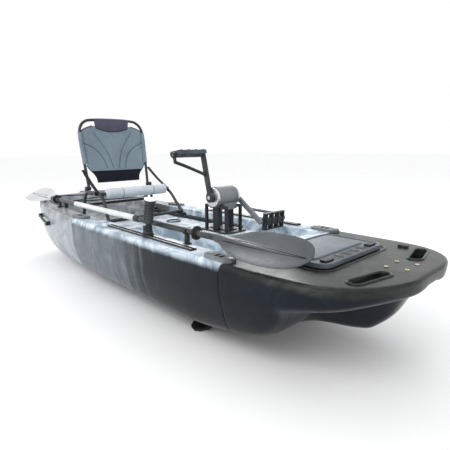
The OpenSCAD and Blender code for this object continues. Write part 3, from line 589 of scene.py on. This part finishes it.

# painted shade: near-black patches standing for the recesses in the grey module clamps; painted highlight: bright
# strips along the tops of the gear rails
slots = []
for s in (1, -1):
    for x0, x1 in ((838, 998), (-500, -340)):
        zt = 371 if x0 > 0 else 373
        m_ = (x0 + x1) / 2
        for d in (-1, 1):
            slots.append(boxm(m_ + d * 14 - 8, m_ + d * 14 + 8, s * 385 - 15, s * 385 + 15, zt - 0.2, zt + 0.5, 0.2))
obj("clamp_recess_shade", *join(*slots), "pit", "hull", "latch_grey", (), 50)
# painted highlight: two thin bright metal strips on each black rail stand for the highlight along its top
strip = []
for s in (1, -1):
    for d in (-1, 1):
        strip.append(boxm(-18, 748, s * 385 + d * 13 - 3.2, s * 385 + d * 13 + 3.2, 369.6, 370.3, 0.3))
obj("rail_highlight_strips", *join(*strip), "silver", "hull", "silver", (), 50)

# ------------------------------------------------------------------ seat
HZ = 525.0
def in_back(lean=9.0):
    return Matrix.Translation(Vector((-590, 0, HZ))) @ Matrix.Rotation(math.radians(-lean), 4, "Y")
IB = in_back()
side = catmull([(0, 238, 0), (0, 244, 165), (0, 250, 330), (0, 249, 375), (0, 240, 420), (0, 214, 455), (0, 170, 474), (0, 80, 477), (0, 0, 477)], 8)
path = side + [np.array((p[0], -p[1], p[2])) for p in side[-2::-1]]
fr = join(sweep(path, 10, 18), *[cyl((0, s * 227 if s > 0 else -249, 0), (0, 1, 0), 22, 14, 32, 1.5) for s in (1, -1)],
          *[cyl((0, s * 249 if s > 0 else -255, 0), (0, 1, 0), 6, 7, 6) for s in (1, -1)])
obj("seat_back_tube", *xf(fr, IB), "tube", "seat_back", "frame_tube", ("seat_back_frame",), 50)

wv = pchip([(34, 165), (62, 168), (92, 182), (118, 204), (140, 221), (158, 229), (200, 232), (300, 237), (385, 239), (400, 232), (414, 212), (426, 180), (436, 150)])
def front(u, v):
    """Depth of the fabric sling in front of the frame plane, sagging back between the tubes."""
    w = wv(min(max(v, 34), 436))
    s = abs(u) / w
    return 4 - 15 * (1 - s * s) * (0.35 + 0.65 * math.sin(math.pi * min(max((v - 34) / 400, 0), 1))) + 1.1 * math.sin(u / 17.0 + v / 60) * (1 - s) * 0.6
def sheet_grid(v0, v1, nv, nu, t, off=0.0, wf=None, v0f=None, ridge=None):
    V, F = [], []
    for side_ in (0, 1):
        for i in range(nv + 1):
            for j in range(nu + 1):
                s = -1 + 2 * j / nu
                va = v0
                v = va + (v1 - va) * i / nv
                w = (wf or wv)(v)
                u = w * s
                if v0f:
                    lo = v0f(u); v = lo + (v1 - lo) * i / nv
                d = front(u, v) + off + (ridge(u, v) if ridge else 0)
                edge = max(0.0, abs(s) - 0.97) / 0.03
                V.append((d - (t if side_ else 0) * (1 - 0.5 * edge), u, v))
    n1 = (nv + 1) * (nu + 1)
    for i in range(nv):
        for j in range(nu):
            a = i * (nu + 1) + j
            F.append((a, a + 1, a + nu + 2, a + nu + 1))
            F.append((n1 + a, n1 + a + nu + 1, n1 + a + nu + 2, n1 + a + 1))
    edge_ = [j for j in range(nu + 1)] + [i * (nu + 1) + nu for i in range(1, nv + 1)] + [nv * (nu + 1) + j for j in range(nu - 1, -1, -1)] + [i * (nu + 1) for i in range(nv - 1, 0, -1)]
    for k in range(len(edge_)):
        a, b = edge_[k], edge_[(k + 1) % len(edge_)]
        F.append((b, a, n1 + a, n1 + b))
    return V, F
SEAMS = [[(25, 130), (38, 200), (66, 270), (105, 328), (150, 392)], [(72, 130), (88, 190), (115, 238), (165, 283), (234, 316)]]
seam_pts = [[np.array(p) for p in catmull([(a, b, 0) for a, b in s], 10)] for s in SEAMS]
def ridge(u, v):
    best = 1e9
    for s in seam_pts:
        for p in s:
            d = (abs(u) - p[0]) ** 2 + (v - p[1]) ** 2
            if d < best: best = d
    return -2.4 * math.exp(-best / 60.0) + 1.2 * math.exp(-(math.sqrt(best) - 16) ** 2 / 120.0)
nv, nu = ((92, 84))
panel = obj("seat_back_sling", *xf(sheet_grid(34, 434, nv, nu, 5, 0, ridge=ridge), IB), "seat", "seat_back", "seat_fabric", ("seat_back_panel",), 60)
# sleeves sewn round the side tubes
sl = []
for s in (1, -1):
    pts = [(0, s * (238 + (250 - 238) * v / 330 if v < 330 else 250 - (v - 330) * 0.02), v) for v in np.linspace(168, 388, 16)]
    sl.append(sweep(pts, [12.6 + 0.5 * math.sin(k * 1.7) for k in range(16)], 20))
obj("seat_back_sleeves", *xf(join(*sl), IB), "seat", "seat_back", "seat_fabric", (), 50)
# dark seam piping, edge binding round the cut-outs
pip = []
for s in (1, -1):
    for sp in seam_pts:
        pip.append(sweep([(front(s * p[0], p[1]) + ridge(p[0], p[1]) + 0.9, s * p[0], p[1]) for p in sp], 1.25, 6))
    ed = [(front(wv(v), v) - 1.5, s * (wv(v) + 0.5), v) for v in np.linspace(36, 160, 22)]
    pip.append(sweep(ed, 3.0, 8))
    ed = [(front(wv(v), v) - 1.5, s * (wv(v) + 0.5), v) for v in np.linspace(388, 435, 16)]
    pip.append(sweep(ed, 3.4, 8))
    pip.append(sweep([(front(s * (wv(v) - 10), v) + 0.6, s * (wv(v) - 10), v) for v in np.linspace(164, 388, 20)], 1.0, 6))
pip.append(sweep([(front(u, 117) + 2.0, u, 117) for u in np.linspace(-203, 203, 40)], 1.2, 6))
obj("seat_back_piping", *xf(join(*pip), IB), "web", "seat_back", "webbing", (), 60)
obj("seat_lower_band", *xf(sheet_grid(35, 117, 20, 50, 7.5, 1.4), IB), "band", "seat_back", "band_fabric", ("seat_band",), 60)

# padded head cover folded over the top tube
def head_cover():
    V, F = [], []
    nu_, nv_ = 44, 30
    for lay in (0, 1):
        for i in range(nv_ + 1):
            for j in range(nu_ + 1):
                u = -128 + 256 * j / nu_
                s = abs(u) / 128
                w = 124 + 8 * math.sin(math.pi * min(1, i / nv_ * 1.1))
                uu = u / 128 * w
                vlow = 396 + 26 * s * s
                tt = i / nv_
                R = 13.8 - 0.8 * s ** 4
                cz = 476.5 - 2.0 * s * s
                puff = 3.6 * (1 - s ** 6) * (0.5 + 0.5 * math.sin(math.pi * min(1.0, tt / 0.55)))
                if tt < 0.55:
                    q = tt / 0.55
                    v = vlow + (cz - vlow) * q
                    x = (front(uu, min(v, 430)) + 2.2) * (1 - q) ** 0.6 + R * (1 - (1 - q) ** 0.6) + puff * math.sin(math.pi * q)
                elif tt < 0.85:
                    a = math.pi * (tt - 0.55) / 0.30
                    x, v = R * math.cos(a), cz + R * math.sin(a)
                else:
                    q = (tt - 0.85) / 0.15
                    x, v = -R + 0.5 * q, cz - 46 * q
                wr = 0.8 * math.sin(uu / 9 + v / 13) * math.sin(uu / 23)
                k = 0 if lay == 0 else 2.6
                if tt < 0.55: V.append((x + wr - k, uu, v))
                elif tt < 0.85:
                    a = math.pi * (tt - 0.55) / 0.30
                    V.append(((R - k) * math.cos(a), uu, cz + (R - k) * math.sin(a)))
                else: V.append((x + k, uu, v))
    n1 = (nv_ + 1) * (nu_ + 1)
    for i in range(nv_):
        for j in range(nu_):
            a = i * (nu_ + 1) + j
            F.append((a, a + 1, a + nu_ + 2, a + nu_ + 1)); F.append((n1 + a, n1 + a + nu_ + 1, n1 + a + nu_ + 2, n1 + a + 1))
    e = [j for j in range(nu_ + 1)] + [i * (nu_ + 1) + nu_ for i in range(1, nv_ + 1)] + [nv_ * (nu_ + 1) + j for j in range(nu_ - 1, -1, -1)] + [i * (nu_ + 1) for i in range(nv_ - 1, 0, -1)]
    for k in range(len(e)):
        F.append((e[(k + 1) % len(e)], e[k], n1 + e[k], n1 + e[(k + 1) % len(e)]))
    return V, F
hc = obj("head_cover", *xf(head_cover(), IB), "head", "seat_back", "head_fabric", ("seat_head_cover",), 70)
lowp = [(front(u, 396 + 26 * (u / 128) ** 2) + 2.6, u, 396 + 26 * (u / 128) ** 2) for u in np.linspace(-125, 125, 40)]
obj("head_cover_binding", *xf(join(sweep(lowp, 2.4, 8)), IB), "web", "seat_back", "webbing", (), 60)

# lower frame: two bent side tubes and three cross tubes
low = []
for s in (1, -1):
    low.append(sweep(fillet([(-600, s * 288, 330), (-600, s * 262, 505), (-350, s * 262, 505), (-225, s * 288, 345), (-225, s * 288, 330)], 62, 10), 11, 18))
    low.append(cyl((-590, s * 251 if s > 0 else -265, 525), (0, 1, 0), 14, 15, 32, 1.5))
    low.append(boxm(-604, -576, s * 258 - 7, s * 258 + 7, 500, 527, 2))
low += [sweep([(-350, -262, 505), (-350, 262, 505)], 11, 18), sweep([(-225, -288, 345), (-225, 288, 345)], 11, 18), sweep([(-600, -275, 410), (-600, 275, 410)], 11, 18)]
obj("seat_lower_tube", *join(*low), "tube", "seat", "frame_tube", ("seat_frame",), 50)

# seat pan: a sling between the side tubes with a padded top
def pan():
    V, F = [], []
    n, m = ((44, 60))
    for lay in (0, 1):
        for i in range(n + 1):
            for j in range(m + 1):
                x = -572 + 212 * i / n
                s = -1 + 2 * j / m
                y = 246 * s
                qx = i / n
                z = 508 - 17 * (1 - s * s) * math.sin(math.pi * min(1, qx * 0.9 + 0.05)) + 1.0 * math.sin(y / 14 + x / 50)
                quilt = 1.6 * abs(math.sin(y / 246 * math.pi * 3)) ** 0.5
                V.append((x, y, z + quilt - (0 if lay == 0 else 10 * (1 - 0.7 * abs(s) ** 8))))
    n1 = (n + 1) * (m + 1)
    for i in range(n):
        for j in range(m):
            a = i * (m + 1) + j
            F.append((a, a + 1, a + m + 2, a + m + 1)); F.append((n1 + a, n1 + a + m + 1, n1 + a + m + 2, n1 + a + 1))
    e = [j for j in range(m + 1)] + [i * (m + 1) + m for i in range(1, n + 1)] + [n * (m + 1) + j for j in range(m - 1, -1, -1)] + [i * (m + 1) for i in range(n - 1, 0, -1)]
    for k in range(len(e)):
        F.append((e[(k + 1) % len(e)], e[k], n1 + e[k], n1 + e[(k + 1) % len(e)]))
    return V, F
sp = obj("seat_pan_pad", *pan(), "seat_pan", "seat", "seat_fabric", ("seat_pan",), 60)

# front roll: padded sleeve round the front cross tube
def roll():
    V, F = [], []
    n, m = 76, 40
    for i in range(n + 1):
        y = -236 + 472 * i / n
        e = min(1.0, (236 - abs(y)) / 16.0)
        pin = 1 - 0.62 * (1 - e) ** 2.2
        seam = 1 - 0.05 * math.exp(-((abs(y) - 118) / 5.0) ** 2)
        for j in range(m):
            a = 2 * math.pi * j / m
            r = 35.0 * pin * seam * (1 + 0.016 * math.sin(5 * a + y / 33) + 0.012 * math.sin(y / 8.0 + 2 * a) + 0.035 * math.cos(a + math.pi / 2) ** 2)
            r += 0.8 * math.sin(y / 5.5 + 3 * a) * math.exp(-((236 - abs(y)) / 26.0) ** 2)
            V.append((-350 + r * math.cos(a), y, 504 + r * math.sin(a) * 0.97))
    for i in range(n):
        for j in range(m):
            F.append((i * m + j, i * m + (j + 1) % m, (i + 1) * m + (j + 1) % m, (i + 1) * m + j))
    F.append(tuple(range(m))[::-1]); F.append(tuple(n * m + j for j in range(m)))
    return V, F
ro = obj("front_roll", *roll(), "roll", "seat", "roll_fabric", ("seat_roll",), 60)
obj("front_roll_seam", *join(*[sweep([(-350 + 34.6 * math.cos(a), s * 118, 504 + 33.8 * math.sin(a)) for a in np.linspace(0, 2 * math.pi, 33)[:-1]], 1.0, 6, closed=True) for s in (1, -1)],
    sweep([(-350 + 34.2 * math.cos(-1.1), y, 504 + 33.4 * math.sin(-1.1)) for y in np.linspace(-222, 222, 30)], 1.0, 6)), "web", "seat", "webbing", (), 60)

# webbing straps from the back tubes to the lower frame, each ending in a loop
st, bk = [], []
for s in (1, -1):
    a, b = np.array((-611, s * 262, 652.0)), np.array((-404, s * 270, 521.0))
    mid_ = [a + (b - a) * t + np.array((0, 0, -7 * math.sin(math.pi * t))) for t in np.linspace(0, 1, 18)]
    st.append(sweep(mid_, 1, flat=(24, 2.4)))
    loop = [(b[0] + 4 + 13.5 * math.cos(t), b[1], 505 + 13.5 * math.sin(t)) for t in np.linspace(0, 2 * math.pi, 20)[:-1]]
    st.append(sweep(loop, 1, flat=(24, 2.2), closed=True))
strap = obj("seat_side_straps", *join(*st), "web", None, "webbing", ("seat_straps",), 50)
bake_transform(strap)

# ------------------------------------------------------------------ rod holder
RB = Matrix.Translation(Vector((385, -385, 412))) @ Matrix.Rotation(math.radians(14), 4, "Y")
prof = [(8.8, 0.3), (9, 1), (9, 12), (16, 18), (23, 26), (24.5, 31)]
for k in range(6):
    z = 36 + k * 14.5
    prof += [(24.5, z), (24.5, z + 8), (22.6, z + 9.5), (22.6, z + 12.5)]
prof += [(24.5, 124), (25, 130), (29, 140), (29.4, 145.6), (25.2, 146), (20.2, 135), (20.2, 32.5), (0.4, 32)]
rt = join(lathe(prof, 56), cyl((0, -12.5, 0), (0, 1, 0), 25, 9.9, 32, 1))
rt = join(rt, *[boxm(-3, 3, s * 25 - 2.2, s * 25 + 2.2, 34, 122, 1) for s in (1, -1)])
obj("rod_holder_body", *xf(rt, RB), "black_tex", "rod_holder", "black_plastic", ("rod_tube",), 40)
obj("rod_holder_rim", *xf(lathe([(25.2, 145.4), (29.2, 145.4), (29.8, 147), (29.4, 149.4), (28.2, 150.2), (26.2, 150.2), (25.2, 149)], 56), RB), "silver", "rod_holder", "silver", ("rod_rim",), 50)
kn = []
seg = 60
V = []; F = []
for r0, z in ((21, 379), (25.4, 380.5), (26, 383), (26, 389), (24.5, 392), (21, 392.8), (9, 392.8)):
    for k in range(seg):
        a = 2 * math.pi * k / seg
        rr = r0 * (1 + (0.045 * math.cos(12 * a) if r0 > 24 else 0.0) - (0.03 if r0 > 24 else 0))
        V.append((385 + rr * math.cos(a), -385 + rr * math.sin(a), z))
for i in range(6):
    for k in range(seg):
        F.append((i * seg + k, i * seg + (k + 1) % seg, (i + 1) * seg + (k + 1) % seg, (i + 1) * seg + k))
F.append(tuple(range(seg))[::-1]); F.append(tuple(6 * seg + k for k in range(seg)))
kn = join((V, F), *[boxm(374, 396, -385 + s * 17 - 4, -385 + s * 17 + 4, 391, 412, 1) for s in (1, -1)], *[cyl((385, -385 + s * 17 - 4, 412), (0, 1, 0), 8, 11, 32, 1) for s in (1, -1)], cyl((385, -406.5, 412), (0, 1, 0), 43, 4, 20, 0.6))
obj("rod_holder_knob", *kn, "black_tex", "rod_swivel", "black_plastic", ("rod_knob",), 40)

# ------------------------------------------------------------------ paddle blades
lowE = pchip([(-20, 16.5), (20, 27), (60, 46), (110, 69), (170, 88), (230, 97), (290, 99), (350, 93), (400, 80), (435, 55), (452, 30), (462, 6)])
upE = pchip([(-20, 16.5), (20, 30), (60, 53), (110, 76), (170, 91), (230, 98), (290, 100), (350, 96), (400, 84), (435, 62), (452, 36), (462, 12)])
def blade(mirror, mat_, slot_, name, repl, x0):
    V, F = [], []
    n, m = ((96, 44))
    T = 3.0
    for lay in (0, 1):
        for i in range(n + 1):
            q = i / n
            x = -20 + 481 * (1 - (1 - q) ** 1.4)
            lo, up = lowE(x), upE(x)
            for j in range(m + 1):
                s = -1 + 2 * j / m
                y = s * (lo if s < 0 else up)
                rib = 9.5 * max(0, 1 - x / 330) ** 0.8 * math.exp(-(y / 15.0) ** 2)
                spoon = 0.00105 * y * y * min(1, max(0, x) / 120) + 0.000055 * max(0, x - 120) ** 2
                groove = -1.5 * (math.exp(-((abs(y) - 12) / 2.6) ** 2)) * min(1, max(0, x - 5) / 60) * max(0, 1 - x / 430)
                e = max(abs(s), 0) ** 10
                t = T * (1 - 0.55 * e) * (1 - 0.5 * q ** 8)
                z = spoon - 4 + (t + rib + groove if lay == 0 else -t - rib * 0.55)
                V.append((x, y, z))
    n1 = (n + 1) * (m + 1)
    for i in range(n):
        for j in range(m):
            a = i * (m + 1) + j
            F.append((a, a + 1, a + m + 2, a + m + 1)); F.append((n1 + a, n1 + a + m + 1, n1 + a + m + 2, n1 + a + 1))
    e = [j for j in range(m + 1)] + [i * (m + 1) + m for i in range(1, n + 1)] + [n * (m + 1) + j for j in range(m - 1, -1, -1)] + [i * (m + 1) for i in range(n - 1, 0, -1)]
    for k in range(len(e)):
        F.append((e[(k + 1) % len(e)], e[k], n1 + e[k], n1 + e[(k + 1) % len(e)]))
    neck = sweep([(x, 0, 0) for x in np.linspace(-20, 150, 24)], [17.2 * (1 - max(0, x) / 230) for x in np.linspace(-20, 150, 24)], 24)
    mt = Matrix.Translation(Vector((x0, -335, 425)))
    if mirror:
        mt = mt @ Matrix.Scale(-1, 4, Vector((1, 0, 0)))
    mt = mt @ Matrix.Rotation(math.radians(24), 4, "X")
    obj(name, *xf(join((V, F), neck), mt), mat_, "paddle", slot_, (repl,), 40)
    # painted shade: near-black lines along the grooves beside the spine
    L = []
    for sd in (-1, 1):
        L.append(sweep([(x, sd * (12.5 * (1 - (x / 455) ** 2) + 0.5), 0.00105 * 150 * min(1, x / 120) + 0.000055 * max(0, x - 120) ** 2 - 4 + 3.1 + 9.5 * max(0, 1 - x / 330) ** 0.8 * 0.5) for x in np.linspace(25, 440, 60)], [1.5 * (1 - 0.5 * k / 59) for k in range(60)], 6))
    obj(name + "_groove_shade", *xf(join(*L), mt), "pit", "paddle", slot_, (), 60)
blade(False, "blade_f", "blade_grey", "paddle_blade_bow", "blade_front", 860)
blade(True, "blade_r", "blade_white", "paddle_blade_stern", "blade_rear", -1060)

# ------------------------------------------------------------------ bungee over the cargo well
bx = [-1330, -1110, -870, -720]
bp = [np.array((bx[i], -298 if i % 2 == 0 else 298, 408.0)) for i in range(4)]
bg = []
for i in range(3):
    a, b = bp[i], bp[i + 1]
    bg.append(sweep([a + (b - a) * t + np.array((0, 0, -2.5 * math.sin(math.pi * t))) for t in np.linspace(0, 1, 26)], 4, 12))
for p in bp:
    bg.append(sweep([p + np.array((6.5 * math.cos(t), 0, 6.5 * math.sin(t) * 0.8)) for t in np.linspace(0, 2 * math.pi, 16)[:-1]], 3.6, 10, closed=True))
obj("cargo_bungee", *join(*bg), "web", "hull", "webbing", ("bungee",), 60)

# side carry handles with a moulded grip
def handle(s):
    a = np.array((-1175, s * 0, 282.0)); W1, W2 = fW(-1175) + 14, fW(-905) + 14
    P = [(-1175 + 270 * t, s * (W1 + (W2 - W1) * t + 9 * math.sin(math.pi * t)), 282 - 22 * t + 2 * math.sin(math.pi * t)) for t in np.linspace(0, 1, 30)]
    return sweep(P, [8 + 1.6 * math.exp(-((t - 0.5) / 0.22) ** 4) + (0.5 * math.sin(t * 150) if 0.3 < t < 0.7 else 0) for t in np.linspace(0, 1, 30)], 18)
obj("carry_handle_s", *handle(-1), "black", "hull", "black_plastic", ("handle_s",), 50)
obj("carry_handle_p", *handle(1), "black", "hull", "black_plastic", ("handle_p",), 50)

# ------------------------------------------------------------------ stage, light, camera
me = bpy.data.meshes.new("floor")
me.from_pydata([(-40, -40, 0), (40, -40, 0), (40, 40, 0), (-40, 40, 0)], [], [(0, 1, 2, 3)])
floor = bpy.data.objects.new("floor", me)
floor.location = (0, 0, BOX0[0][2] - 0.002)
bpy.context.scene.collection.objects.link(floor)
fm, nt, b = new_mat("pale_floor")
put(nt, b.inputs["Base Color"], ramp(nt, noise(nt, coord(nt), 3, 3), [(0.3, (0.965, 0.965, 0.965)), (0.7, (0.98, 0.98, 0.98))]))
b.inputs["Roughness"].default_value = 0.9
b.inputs["Specular IOR Level"].default_value = 0.1
floor.data.materials.append(fm)

sc = bpy.context.scene
sc.view_settings.view_transform = "Standard"
w = bpy.data.worlds.new("studio"); sc.world = w; w.use_nodes = True
nt = w.node_tree; nt.nodes.clear()
out = nt.nodes.new("ShaderNodeOutputWorld"); bgn = nt.nodes.new("ShaderNodeBackground")
tc = nt.nodes.new("ShaderNodeTexCoord"); sep = nt.nodes.new("ShaderNodeSeparateXYZ")
nt.links.new(tc.outputs["Generated"], sep.inputs[0])
cr = ramp(nt, math_(nt, "MULTIPLY_ADD", sep.outputs[2], 0.5, 0.5), [(0.0, (1.0, 1.0, 1.0)), (0.5, (1.0, 1.0, 1.0)), (0.75, (1.0, 1.0, 1.0)), (1.0, (0.98, 0.99, 1.0))])
nt.links.new(cr, bgn.inputs[0]); bgn.inputs[1].default_value = 1.0
nt.links.new(bgn.outputs[0], out.inputs[0])
def area(name, loc, target, size, power, col=(1, 1, 1)):
    l = bpy.data.lights.new(name, "AREA"); l.shape = "RECTANGLE"; l.size, l.size_y = size; l.energy = power; l.color = col
    o = bpy.data.objects.new(name, l); o.location = loc
    o.rotation_euler = (Vector(target) - Vector(loc)).to_track_quat("-Z", "Y").to_euler()
    sc.collection.objects.link(o)
area("key", (1.0, -4.5, 4.2), (0, 0, 0.2), (4, 2.5), 130)
area("back", (-4.0, 3.5, 3.4), (0, 0, 0.3), (4, 2), 120, (0.96, 0.98, 1.0))

az, el, roll_ = math.radians(136.71), math.radians(11.91), math.radians(-0.49)
d = Vector((math.cos(el) * math.cos(az), math.cos(el) * math.sin(az), -math.sin(el)))
r = d.cross(Vector((0, 0, 1))).normalized(); u = r.cross(d)
c_, s_ = math.cos(roll_), math.sin(roll_)
r2, u2 = c_ * r + s_ * u, -s_ * r + c_ * u
mw = Matrix(((r2.x, u2.x, -d.x, 2.032), (r2.y, u2.y, -d.y, -1.405), (r2.z, u2.z, -d.z, 0.804), (0, 0, 0, 1)))
cam = bpy.data.cameras.new("camera"); cam.sensor_width = 36; cam.lens = 386.4 / 450 * 36
cam.shift_x, cam.shift_y = 0.0004, 0.0067
cam.clip_start = 0.01; cam.clip_end = 200
co = bpy.data.objects.new("camera", cam); co.matrix_world = mw
sc.collection.objects.link(co); sc.camera = co
